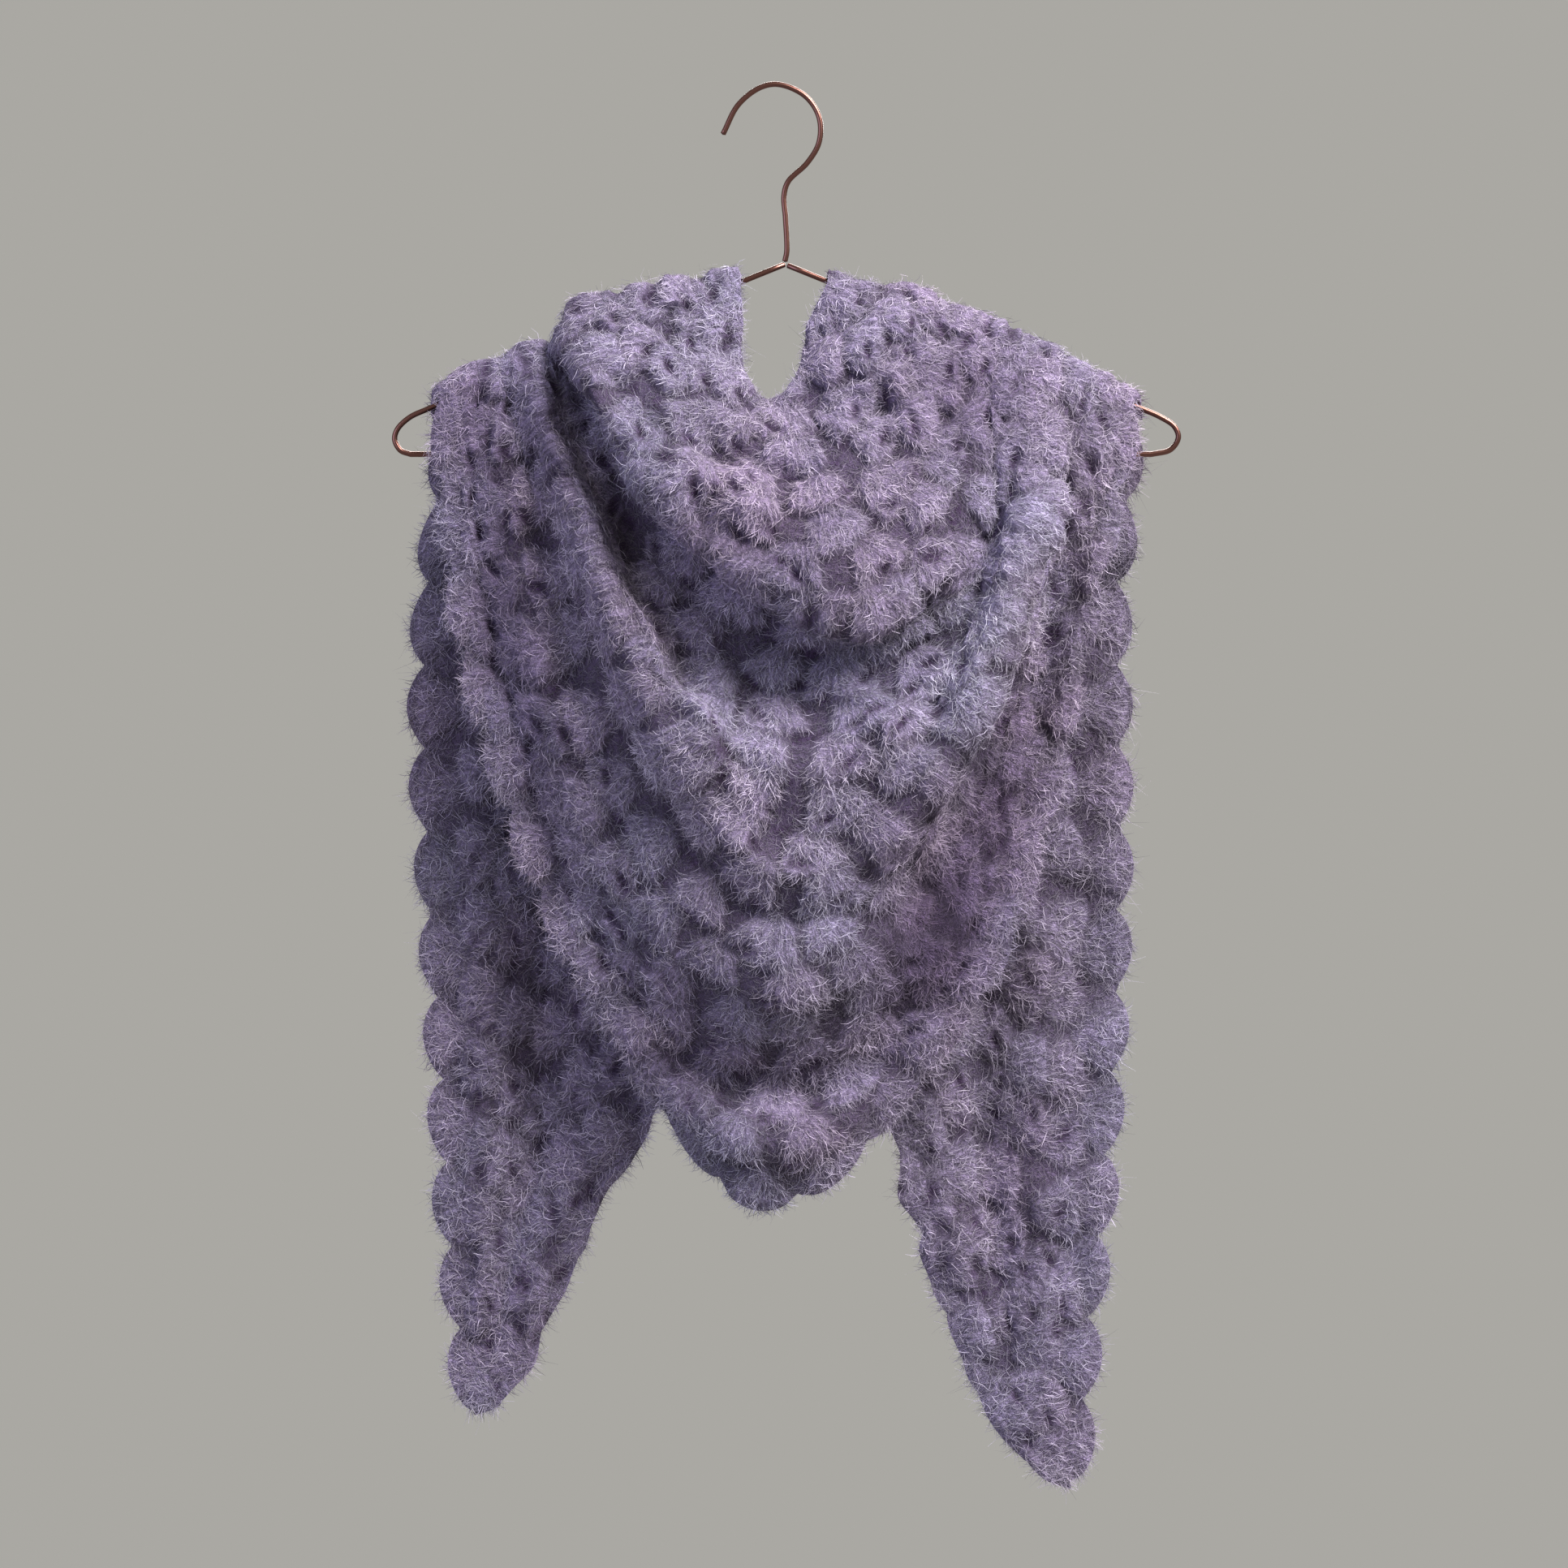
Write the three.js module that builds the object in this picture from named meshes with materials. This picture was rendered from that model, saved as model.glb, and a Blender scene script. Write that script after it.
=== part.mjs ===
// A fluffy crocheted triangle shawl, hung like a bandana over a thin copper-coloured wire hanger.
// Millimetres, +Z up, and the front of the shawl faces -Y.
// The origin is the inside top of the hook, the point that a nail or rail carries.
//
// The shawl is one triangle of shell stitch. Its point hangs in front and its long edge dips as a
// cowl between the arms. The two ends lie over the arms and hang down behind as tapering tails.

import * as THREE from 'three';

// Driving dimensions.
const WALL = 4;                 // thick mohair crochet
const SEAM_GAP = 0.3;           // between neighbouring stretches
const EDGING_GAP = 0.5;         // between the cloth and its edging
const WIRE_DIAMETER = 3;
const WIRE_SIDES = 8;

// The hanger: where its neck meets the arms, how steeply they fall, and its lower bar.
const NECK_X = 4;
const NECK_Z = -95;
const ARM_SLOPE = 0.405;
const ARM_LEFT_X = -187;
const ARM_RIGHT_X = 196;
const BAR_Z = -197;
const BAR_LEFT_X = -197;
const BAR_RIGHT_X = 201;

// The cloth over an arm is a half ellipse, measured to the middle of its wall: its half depth, how far
// its back foot hangs below the wire, and its least height above it, where it rests on the wire.
const ARCH_DEPTH = 8;
const ARCH_DROP = 5;
const ARCH_BULGE = 0.5;
const ARCH_SHOULDER = 0.14 * Math.PI;
const MIN_LIFT = (WALL + WIRE_DIAMETER) / 2 + 1.8;

// Scalloped shell edging along the two short sides of the triangle.
const SHELL_PITCH = 45;
const SHELL_NOTCH = 3;          // width of the edging between two shells
const SHELL_LOBE = { front: 6, tail: 9 };  // how much further a shell reaches at its middle
const SHELL_PUFF = 1.5;         // how much thicker a shell is at its middle
const EDGING_START = 2;         // where it begins on the front of an arm, as places across the front
const EDGING_SPLIT = 0.13;      // how far past the point the left half goes, so that a shell sits on it
const EDGING_PART = 0.01;       // the gap between the two halves, in the same places
const TAIL_EDGING = [0.01, 0.985];  // where it begins and ends on a tail, as shares of its length
const EDGE_SAMPLES = 200;

// Steps of the walls. across has the steps between the places where a swag's line is given.
const STEPS = { across: [2, 2, 5, 7, 7, 7, 7, 5, 2, 2], tailWide: 14, tailLong: 24, shell: 5 };

const CLOTH = { color: 0x8e83a0, roughness: 0.95, metalness: 0 };
const EDGING = { color: 0x9a8ca8, roughness: 0.95, metalness: 0 };
const COPPER = { color: 0x8a5548, roughness: 0.3, metalness: 1 };

// The front hangs in swags. Each row is one crest or hollow, from the left arm down to its lowest
// point and up to the right arm. left and right are places along the arms (x), the lifts say how
// high the cloth lies above the wire there, and the others are points (x, y, z) on the way.
const SWAGS = [
  { name: 'neckline', left: -20, leftLift: 4, l1: [-19, -14, -131], l2: [-17, -22, -157],
    low: [-3, -27, -171], r2: [10, -23, -157], r1: [16, -14, -131], right: 27, rightLift: 4 },
  { name: 'cowl_upper', left: -47, leftLift: 12, l1: [-51, -30, -145], l2: [-34, -52, -189],
    low: [12, -62, -215], r2: [46, -46, -182], r1: [55, -26, -140], right: 56, rightLift: 10 },
  { name: 'cowl_bulge', left: -80, leftLift: 19, l1: [-83, -46, -157], l2: [-50, -70, -216],
    low: [27, -83, -262], r2: [79, -56, -217], r1: [82, -32, -156], right: 80, rightLift: 12 },
  { name: 'cowl_edge', left: -110, leftLift: 24, l1: [-104, -45, -158], l2: [-60, -66, -234],
    low: [40, -76, -297], r2: [100, -54, -247], r1: [101, -32, -167], right: 98, rightLift: 13 },
  { name: 'cowl_tuck', left: -116, leftLift: 12, l1: [-101, -28, -157], l2: [-58, -46, -229],
    low: [38, -58, -289], r2: [103, -48, -252], r1: [106, -30, -170], right: 103, rightLift: 12 },
  { name: 'cowl_valley', left: -121, leftLift: 4, l1: [-99, -17, -168], l2: [-62, -29, -246],
    low: [31, -44, -297], r2: [106, -44, -260], r1: [111, -27, -174], right: 108, rightLift: 12 },
  { name: 'upper_drape', left: -127, leftLift: 9, l1: [-108, -20, -190], l2: [-69, -40, -290],
    low: [22, -51, -345], r2: [108, -48, -282], r1: [123, -32, -190], right: 124, rightLift: 13 },
  { name: 'drape_ridge', left: -134, leftLift: 12, l1: [-112, -38, -216], l2: [-58, -61, -352],
    low: [12, -66, -428], r2: [99, -57, -350], r1: [145, -42, -232], right: 153, rightLift: 11 },
  { name: 'ridge_tuck', left: -140, leftLift: 9, l1: [-118, -25, -221], l2: [-65, -49, -360],
    low: [8, -65, -442], r2: [92, -41, -361], r1: [139, -27, -232], right: 160, rightLift: 9 },
  { name: 'side_valley', left: -147, leftLift: 7, l1: [-125, -17, -236], l2: [-76, -43, -388],
    low: [5, -66, -458], r2: [89, -28, -384], r1: [140, -18, -245], right: 167, rightLift: 7 },
  { name: 'low_bulge', left: -156, leftLift: 11, l1: [-137, -25, -258], l2: [-84, -43, -422],
    low: [2, -64, -484], r2: [90, -30, -420], r1: [145, -21, -268], right: 174, rightLift: 8 },
  { name: 'bulge_foot', left: -163, leftLift: 10, l1: [-145, -20, -275], l2: [-89, -34, -445],
    low: [0, -50, -508], r2: [92, -28, -448], r1: [146, -18, -284], right: 178, rightLift: 6 },
  { name: 'dark_band', left: -169, leftLift: 9, l1: [-151, -16, -286], l2: [-93, -26, -458],
    low: [-3, -32, -531], r2: [96, -23, -463], r1: [149, -15, -293], right: 181, rightLift: 5 },
  { name: 'hem_ridge', left: -174, leftLift: 9, l1: [-157, -16, -293], l2: [-97, -25, -465],
    low: [-3, -38, -560], r2: [102, -22, -471], r1: [154, -14, -299], right: 185, rightLift: 5 },
  { name: 'border', left: -178, leftLift: 8, l1: [-165, -17, -297], l2: [-104, -23, -469],
    low: [-4, -28, -594], r2: [108, -21, -477], r1: [160, -15, -303], right: 188, rightLift: 4 },
];

// The stretches of the front, each from one row of the table to another, with its steps for a row.
const STRETCHES = [
  { name: 'cowl', from: 'neckline', to: 'cowl_valley', steps: 3 },
  { name: 'front_drape', from: 'cowl_valley', to: 'side_valley', steps: 3 },
  { name: 'front_point', from: 'side_valley', to: 'border', steps: 2 },
];

// The tails, from under the arm to the tip. inner is the plain long edge of the shawl and outer the
// scalloped short side (x, z). back is how far the cloth hangs behind the hanger.
const TAILS = {
  left: [
    { inner: [-23, -136], outer: [-178, -198], back: 10 },
    { inner: [-32, -232], outer: [-187, -276], back: 13 },
    { inner: [-44, -345], outer: [-189, -348], back: 17 },
    { inner: [-57, -454], outer: [-184, -448], back: 18 },
    { inner: [-71, -559], outer: [-179, -539], back: 17 },
    { inner: [-98, -605], outer: [-175, -604], back: 15 },
    { inner: [-121, -656], outer: [-171, -652], back: 14 },
    { inner: [-138, -690], outer: [-167, -688], back: 12 },
    { inner: [-153, -711], outer: [-163, -714], back: 11 },
  ],
  right: [
    { inner: [31, -136], outer: [187, -198], back: 10 },
    { inner: [38, -232], outer: [181, -276], back: 13 },
    { inner: [45, -345], outer: [181, -348], back: 17 },
    { inner: [54, -454], outer: [181, -448], back: 18 },
    { inner: [64, -559], outer: [177, -544], back: 17 },
    { inner: [76, -611], outer: [172, -607], back: 15 },
    { inner: [93, -661], outer: [166, -659], back: 14 },
    { inner: [113, -709], outer: [162, -707], back: 12 },
    { inner: [141, -748], outer: [158, -754], back: 11 },
  ],
};

// Soft upright folds in the tails: where they lie across (0 inner, 1 outer), how wide they are, and
// how far they stand out at the arm and at the tip.
const TAIL_FOLDS = {
  left: [
    { across: 0.22, width: 0.12, top: -7, tip: -2 },
    { across: 0.52, width: 0.1, top: 6, tip: 3 },
    { across: 0.8, width: 0.09, top: -5, tip: -3 },
  ],
  right: [
    { across: 0.18, width: 0.1, top: -6, tip: -2 },
    { across: 0.42, width: 0.09, top: 5, tip: 3 },
    { across: 0.68, width: 0.12, top: -6, tip: -3 },
  ],
};

// The hook's wire, as points (x, z) on its middle line from its end down to the neck.
const HOOK = [
  [-29.2, -25], [-21, -9.3], [-9, 0], [1, 1.5], [15, -4.8], [22.3, -16], [22.3, -29.5], [16, -40.5],
  [5.8, -50.5], [3.5, -58], [4.3, -70], [5, -88], [NECK_X, NECK_Z + 1.7],
];

// A smooth curve through evenly spaced values, read at the place t.
function smooth(values, t) {
  const last = values.length - 1;
  const i = Math.min(Math.floor(t), last - 1);
  const f = t - i;
  const p1 = values[i];
  const p2 = values[i + 1];
  const p0 = i > 0 ? values[i - 1] : 2 * p1 - p2;
  const p3 = i < last - 1 ? values[i + 2] : 2 * p2 - p1;
  const curve = 2 * p1 + (p2 - p0) * f + (2 * p0 - 5 * p1 + 4 * p2 - p3) * f * f;
  return 0.5 * (curve + (3 * p1 - p0 - 3 * p2 + p3) * f * f * f);
}

function smoothPoint(points, t) {
  return new THREE.Vector3(...[0, 1, 2].map((axis) => smooth(points.map((p) => p[axis]), t)));
}

function armHeight(x) {
  return NECK_Z - ARM_SLOPE * Math.abs(x - NECK_X);
}

// A place on the cloth over an arm: row counts along the table of swags, and turn goes from 0 at
// the front, over the top, to pi at the back foot. High folds also bulge to the front.
function overArm(side, row, turn) {
  const x = smooth(SWAGS.map((swag) => swag[side]), row);
  const lift = Math.max(smooth(SWAGS.map((swag) => swag[`${side}Lift`]), row), MIN_LIFT);
  const bulge = turn < Math.PI / 2 ? ARCH_BULGE * (lift - MIN_LIFT) : 0;
  const rise = (lift + ARCH_DROP) * Math.sin(turn) - ARCH_DROP;
  return new THREE.Vector3(x, -(ARCH_DEPTH + bulge) * Math.cos(turn), armHeight(x) + rise);
}

// The columns of the swags' points, as curves down the front.
const COLUMNS = ['l1', 'l2', 'low', 'r2', 'r1'].map((key) => (
  new THREE.CatmullRomCurve3(SWAGS.map((swag) => new THREE.Vector3(...swag[key])))
));

// A place on the front. across counts the points below, from 0 behind the left arm, over it, down
// to 5 at the low point of the swag, and up to 10 behind the right arm.
function frontPoint(across, row) {
  const arch = (side) => [Math.PI, Math.PI / 2, ARCH_SHOULDER].map((turn) => (
    overArm(side, row, turn)
  ));
  const knots = COLUMNS.map((column) => column.getPoint(row / (SWAGS.length - 1)));
  const line = [...arch('left'), ...knots, ...arch('right').reverse()];
  return new THREE.CatmullRomCurve3(line).getPoint(across / (line.length - 1));
}

// A place on a tail: across goes from 0 inside to 1 outside, and down from 0 at the arm to 1 at the tip.
function tailPoint(side, across, down) {
  const foot = overArm(side, across * (SWAGS.length - 1), Math.PI).toArray();
  const stations = TAILS[side].map(({ inner, outer, back }) => [
    THREE.MathUtils.lerp(inner[0], outer[0], across),
    back,
    THREE.MathUtils.lerp(inner[1], outer[1], across),
  ]);
  const point = smoothPoint([foot, ...stations], down * stations.length);
  const { lerp, smoothstep } = THREE.MathUtils;
  const fade = smoothstep(down, 0, 0.15) * (1 - smoothstep(down, 0.7, 0.92));
  for (const fold of TAIL_FOLDS[side]) {
    const height = lerp(fold.top, fold.tip, down);
    point.y += fade * height * Math.exp(-(((across - fold.across) / fold.width) ** 2));
  }
  return point;
}

// The wall's direction at a place on a surface, and the surface's directions across and along.
function frameAt(surface, a, b) {
  const h = 1e-3;
  const low = [Math.max(a - h, 0), Math.max(b - h, 0)];
  const high = [Math.min(a + h, surface.aMax), Math.min(b + h, surface.bMax)];
  const across = surface.at(high[0], b).sub(surface.at(low[0], b)).normalize();
  const along = surface.at(a, high[1]).sub(surface.at(a, low[1])).normalize();
  const normal = across.clone().cross(along).normalize();
  return { across, along, normal };
}

// The part of one direction that is square to another.
function square(direction, other) {
  return direction.clone().addScaledVector(other, -direction.dot(other)).normalize();
}

// A closed wall over a grid of { point, normal, thick }, with its rim all round.
function wallGeometry(grid) {
  const rows = grid.length;
  const columns = grid[0].length;
  const corners = [];
  for (const sign of [0.5, -0.5]) {
    for (const line of grid) {
      for (const { point, normal, thick = WALL } of line) {
        corners.push(point.clone().addScaledVector(normal, sign * thick));
      }
    }
  }
  const id = (layer, r, c) => (layer * rows + r) * columns + c;
  const index = [];
  const quad = (a, b, c, d) => index.push(a, b, c, a, c, d);
  for (let r = 0; r < rows - 1; r += 1) {
    for (let c = 0; c < columns - 1; c += 1) {
      quad(id(0, r, c), id(0, r, c + 1), id(0, r + 1, c + 1), id(0, r + 1, c));
      quad(id(1, r, c), id(1, r + 1, c), id(1, r + 1, c + 1), id(1, r, c + 1));
    }
    const end = columns - 1;
    quad(id(0, r, 0), id(0, r + 1, 0), id(1, r + 1, 0), id(1, r, 0));
    quad(id(0, r, end), id(1, r, end), id(1, r + 1, end), id(0, r + 1, end));
  }
  for (let c = 0; c < columns - 1; c += 1) {
    const end = rows - 1;
    quad(id(0, 0, c), id(1, 0, c), id(1, 0, c + 1), id(0, 0, c + 1));
    quad(id(0, end, c), id(0, end, c + 1), id(1, end, c + 1), id(1, end, c));
  }
  if (signedVolume(corners, index) < 0) index.reverse();
  const geometry = new THREE.BufferGeometry();
  const places = corners.flatMap((corner) => corner.toArray());
  geometry.setAttribute('position', new THREE.Float32BufferAttribute(places, 3));
  geometry.setIndex(index);
  geometry.computeVertexNormals();
  return geometry;
}

function signedVolume(corners, index) {
  let volume = 0;
  for (let i = 0; i < index.length; i += 3) {
    const [a, b, c] = [corners[index[i]], corners[index[i + 1]], corners[index[i + 2]]];
    volume += a.dot(b.clone().cross(c)) / 6;
  }
  return volume;
}

function namedMesh(name, geometry, finish) {
  const mesh = new THREE.Mesh(geometry, new THREE.MeshStandardMaterial(finish));
  mesh.name = name;
  return mesh;
}

const FRONT = { at: frontPoint, aMax: STEPS.across.length, bMax: SWAGS.length - 1 };
const FORWARD = new THREE.Vector3(0, -1, 0);
const BACKWARD = new THREE.Vector3(0, 1, 0);

// The places across the front where its wall has a column.
const ACROSS = [0, ...STEPS.across.flatMap((steps, k) => (
  Array.from({ length: steps }, (_, i) => k + (i + 1) / steps)
))];

// One stretch of the front. Its wall's direction is turned to the hanger, so it is straight to the
// front at the two ends, which hang behind the arms.
function frontStretch({ name, from, to, steps }) {
  const first = SWAGS.findIndex((swag) => swag.name === from);
  const last = SWAGS.findIndex((swag) => swag.name === to);
  const count = (last - first) * steps;
  const grid = [];
  for (let r = 0; r <= count; r += 1) {
    const row = first + r / steps;
    grid.push(ACROSS.map((across) => {
      const { along, normal } = frameAt(FRONT, across, row);
      const point = frontPoint(across, row);
      const atEnd = across === 0 || across === FRONT.aMax;
      if (r === 0 && first > 0) point.addScaledVector(along, SEAM_GAP / 2);
      if (r === count && last < FRONT.bMax) point.addScaledVector(along, -SEAM_GAP / 2);
      return { point, normal: atEnd ? FORWARD : normal };
    }));
  }
  return namedMesh(name, wallGeometry(grid), CLOTH);
}

function tailSurface(side) {
  return { at: (across, down) => tailPoint(side, across, down), aMax: 1, bMax: 1 };
}

// One tail. Its wall's direction is turned to the back, where its outer face is.
function tail(side) {
  const surface = tailSurface(side);
  const grid = [];
  for (let r = 0; r <= STEPS.tailLong; r += 1) {
    const down = r / STEPS.tailLong;
    const line = [];
    for (let c = 0; c <= STEPS.tailWide; c += 1) {
      const across = c / STEPS.tailWide;
      const point = surface.at(across, down);
      const { normal } = frameAt(surface, across, down);
      if (normal.y < 0) normal.negate();
      if (r === 0) point.z -= SEAM_GAP;
      line.push({ point, normal: r === 0 ? BACKWARD : normal });
    }
    grid.push(line);
  }
  return namedMesh(`${side}_tail`, wallGeometry(grid), CLOTH);
}

// The places along an edge, from 0 to 1, that part it into even lengths.
function evenPlaces(at, count) {
  const lengths = [0];
  for (let i = 1; i <= EDGE_SAMPLES; i += 1) {
    lengths.push(lengths[i - 1] + at((i - 1) / EDGE_SAMPLES).distanceTo(at(i / EDGE_SAMPLES)));
  }
  const total = lengths[EDGE_SAMPLES];
  const places = [];
  let i = 0;
  for (let k = 0; k <= count; k += 1) {
    const goal = (total * k) / count;
    while (i < EDGE_SAMPLES - 1 && lengths[i + 1] < goal) i += 1;
    const step = lengths[i + 1] - lengths[i];
    places.push((i + (goal - lengths[i]) / step) / EDGE_SAMPLES);
  }
  return { places, total };
}

// A row of shells along an edge, the last one whole where the edge ends in a point. edge(t) gives
// the edge's place and directions for t from 0 to 1, and outward is its direction off the cloth.
function shellEdging(name, edge, reachOfLobe) {
  const at = (t) => edge(t).point;
  const count = Math.round(evenPlaces(at, 1).total / SHELL_PITCH);
  const { places } = evenPlaces(at, count * STEPS.shell);
  const grid = [[], [], []];
  places.forEach((place, i) => {
    const { point, normal, outward } = edge(place);
    const lobe = Math.abs(Math.sin((Math.PI * i) / STEPS.shell)) ** 0.7;
    const reach = SHELL_NOTCH + reachOfLobe * lobe;
    const thick = WALL + SHELL_PUFF * lobe;
    grid[0].push({ point: point.clone().addScaledVector(outward, EDGING_GAP), normal });
    grid[1].push({ point: point.clone().addScaledVector(outward, reach * 0.6), normal, thick });
    grid[2].push({ point: point.clone().addScaledVector(outward, reach), normal, thick: WALL / 2 });
  });
  return namedMesh(name, wallGeometry(grid), EDGING);
}

// The edging of the front, in two halves that meet just past the point of the triangle.
function frontEdging(side) {
  const split = FRONT.aMax / 2 + EDGING_SPLIT;
  const start = side === 'left' ? EDGING_START : FRONT.aMax - EDGING_START;
  const across = (t) => THREE.MathUtils.lerp(start, side === 'left' ? split : split + EDGING_PART, t);
  const edge = (t) => {
    const frame = frameAt(FRONT, across(t), FRONT.bMax);
    const outward = square(frame.along, frame.across);
    return { point: frontPoint(across(t), FRONT.bMax), normal: frame.normal, outward };
  };
  return shellEdging(`front_edging_${side}`, edge, SHELL_LOBE.front);
}

// The edging of a tail's outer side, from the arm to the tip.
function tailEdging(side) {
  const surface = tailSurface(side);
  const edge = (t) => {
    const down = THREE.MathUtils.lerp(...TAIL_EDGING, t);
    const frame = frameAt(surface, 1, down);
    const outward = square(frame.across, frame.along);
    return { point: surface.at(1, down), normal: frame.normal, outward };
  };
  return shellEdging(`${side}_tail_edging`, edge, SHELL_LOBE.tail);
}

// A round wire through points (x, z) in the plane of the hanger.
function wire(name, points, steps) {
  const path = new THREE.CatmullRomCurve3(points.map(([x, z]) => new THREE.Vector3(x, 0, z)));
  const section = new THREE.Shape();
  for (let i = 0; i < WIRE_SIDES; i += 1) {
    const turn = (2 * Math.PI * i) / WIRE_SIDES;
    const corner = [Math.cos(turn) * WIRE_DIAMETER / 2, Math.sin(turn) * WIRE_DIAMETER / 2];
    if (i === 0) section.moveTo(...corner);
    else section.lineTo(...corner);
  }
  section.closePath();
  const geometry = new THREE.ExtrudeGeometry(section, { steps, extrudePath: path, bevelEnabled: false });
  return namedMesh(name, geometry, COPPER);
}

function hanger() {
  const gap = 2 * SEAM_GAP;
  const arm = (x) => [x, armHeight(x)];
  const group = new THREE.Group();
  group.add(
    wire('hanger_hook', HOOK, 44),
    wire('hanger_arm_left', [arm(NECK_X - 0.3), arm(ARM_LEFT_X + gap)], 2),
    wire('hanger_arm_right', [arm(NECK_X + 2.8), arm(ARM_RIGHT_X - gap)], 2),
    wire('hanger_loop_left', [
      arm(ARM_LEFT_X), [-197.5, -177.2], [-204, -183.5], [-205.5, -189], [-202.5, -194.8],
      [BAR_LEFT_X, BAR_Z],
    ], 14),
    wire('hanger_loop_right', [
      arm(ARM_RIGHT_X), [205.5, -177], [213, -182], [215.2, -188], [211, -194.5],
      [BAR_RIGHT_X, BAR_Z],
    ], 14),
    wire('hanger_bar', [[BAR_LEFT_X + gap, BAR_Z], [BAR_RIGHT_X - gap, BAR_Z]], 4),
  );
  return group;
}

function shawl() {
  const group = new THREE.Group();
  STRETCHES.forEach((stretch) => group.add(frontStretch(stretch)));
  for (const side of ['left', 'right']) {
    group.add(tail(side), tailEdging(side), frontEdging(side));
  }
  return group;
}

const object = new THREE.Group();
object.add(hanger(), shawl());

export default object;
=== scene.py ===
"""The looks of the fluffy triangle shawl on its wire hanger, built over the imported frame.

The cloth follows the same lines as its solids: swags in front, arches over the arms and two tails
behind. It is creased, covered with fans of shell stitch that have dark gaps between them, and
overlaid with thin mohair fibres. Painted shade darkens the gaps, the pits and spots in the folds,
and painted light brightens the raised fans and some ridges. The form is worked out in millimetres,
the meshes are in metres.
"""

import bpy
import numpy as np
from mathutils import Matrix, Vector


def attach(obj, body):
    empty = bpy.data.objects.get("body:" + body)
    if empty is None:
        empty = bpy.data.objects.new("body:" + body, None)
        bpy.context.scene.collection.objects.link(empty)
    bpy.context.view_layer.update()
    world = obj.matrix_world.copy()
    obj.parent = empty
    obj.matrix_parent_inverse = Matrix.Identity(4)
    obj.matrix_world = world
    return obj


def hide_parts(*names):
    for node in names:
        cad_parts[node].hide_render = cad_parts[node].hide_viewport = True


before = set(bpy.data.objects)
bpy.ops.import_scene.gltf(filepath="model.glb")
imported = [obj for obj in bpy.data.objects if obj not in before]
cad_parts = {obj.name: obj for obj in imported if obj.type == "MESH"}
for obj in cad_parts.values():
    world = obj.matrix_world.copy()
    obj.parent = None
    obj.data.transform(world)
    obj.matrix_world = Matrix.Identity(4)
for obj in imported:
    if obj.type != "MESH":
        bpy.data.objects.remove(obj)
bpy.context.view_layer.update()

MM = 0.001
rng = np.random.default_rng(7)

# The hanger and the cloth over its arms, as in the solids.
WIRE_DIAMETER = 3
WALL = 4
NECK_X = 4
NECK_Z = -95
ARM_SLOPE = 0.405
ARM_LEFT_X = -187
ARM_RIGHT_X = 196
BAR_Z = -197
BAR_LEFT_X = -197
BAR_RIGHT_X = 201
ARCH_DEPTH = 8
ARCH_DROP = 5
ARCH_BULGE = 0.5
ARCH_SHOULDER = 0.14 * np.pi
CLEAR_OF_WIRE = 1.8
MIN_LIFT = (WALL + WIRE_DIAMETER) / 2 + CLEAR_OF_WIRE
SHELL_PITCH = 45

# The swags of the front, from the neckline to the border, each from the left arm over its lowest
# point to the right arm: (x, lift) on the left arm, five points (x, y, z), (x, lift) on the right.
SWAGS = {
    "neckline": (
        (-20, 4), (-19, -14, -131), (-17, -22, -157), (-3, -27, -171),
        (10, -23, -157), (16, -14, -131), (27, 4),
    ),
    "cowl_upper": (
        (-47, 12), (-51, -30, -145), (-34, -52, -189), (12, -62, -215),
        (46, -46, -182), (55, -26, -140), (56, 10),
    ),
    "cowl_bulge": (
        (-80, 19), (-83, -46, -157), (-50, -70, -216), (27, -83, -262),
        (79, -56, -217), (82, -32, -156), (80, 12),
    ),
    "cowl_edge": (
        (-110, 24), (-104, -45, -158), (-60, -66, -234), (40, -76, -297),
        (100, -54, -247), (101, -32, -167), (98, 13),
    ),
    "cowl_tuck": (
        (-116, 12), (-101, -28, -157), (-58, -46, -229), (38, -58, -289),
        (103, -48, -252), (106, -30, -170), (103, 12),
    ),
    "cowl_valley": (
        (-121, 4), (-99, -17, -168), (-62, -29, -246), (31, -44, -297),
        (106, -44, -260), (111, -27, -174), (108, 12),
    ),
    "upper_drape": (
        (-127, 9), (-108, -20, -190), (-69, -40, -290), (22, -51, -345),
        (108, -48, -282), (123, -32, -190), (124, 13),
    ),
    "drape_ridge": (
        (-134, 12), (-112, -38, -216), (-58, -61, -352), (12, -66, -428),
        (99, -57, -350), (145, -42, -232), (153, 11),
    ),
    "ridge_tuck": (
        (-140, 9), (-118, -25, -221), (-65, -49, -360), (8, -65, -442),
        (92, -41, -361), (139, -27, -232), (160, 9),
    ),
    "side_valley": (
        (-147, 7), (-125, -17, -236), (-76, -43, -388), (5, -66, -458),
        (89, -28, -384), (140, -18, -245), (167, 7),
    ),
    "low_bulge": (
        (-156, 11), (-137, -25, -258), (-84, -43, -422), (2, -64, -484),
        (90, -30, -420), (145, -21, -268), (174, 8),
    ),
    "bulge_foot": (
        (-163, 10), (-145, -20, -275), (-89, -34, -445), (0, -50, -508),
        (92, -28, -448), (146, -18, -284), (178, 6),
    ),
    "dark_band": (
        (-169, 9), (-151, -16, -286), (-93, -26, -458), (-3, -32, -531),
        (96, -23, -463), (149, -15, -293), (181, 5),
    ),
    "hem_ridge": (
        (-174, 9), (-157, -16, -293), (-97, -25, -465), (-3, -38, -560),
        (102, -22, -471), (154, -14, -299), (185, 5),
    ),
    "border": (
        (-178, 8), (-165, -17, -297), (-104, -23, -469), (-4, -28, -594),
        (108, -21, -477), (160, -15, -303), (188, 4),
    ),
}
LAST_SWAG = len(SWAGS) - 1
COWL_END = list(SWAGS).index("cowl_valley")
DRAPE_END = list(SWAGS).index("side_valley")

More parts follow.
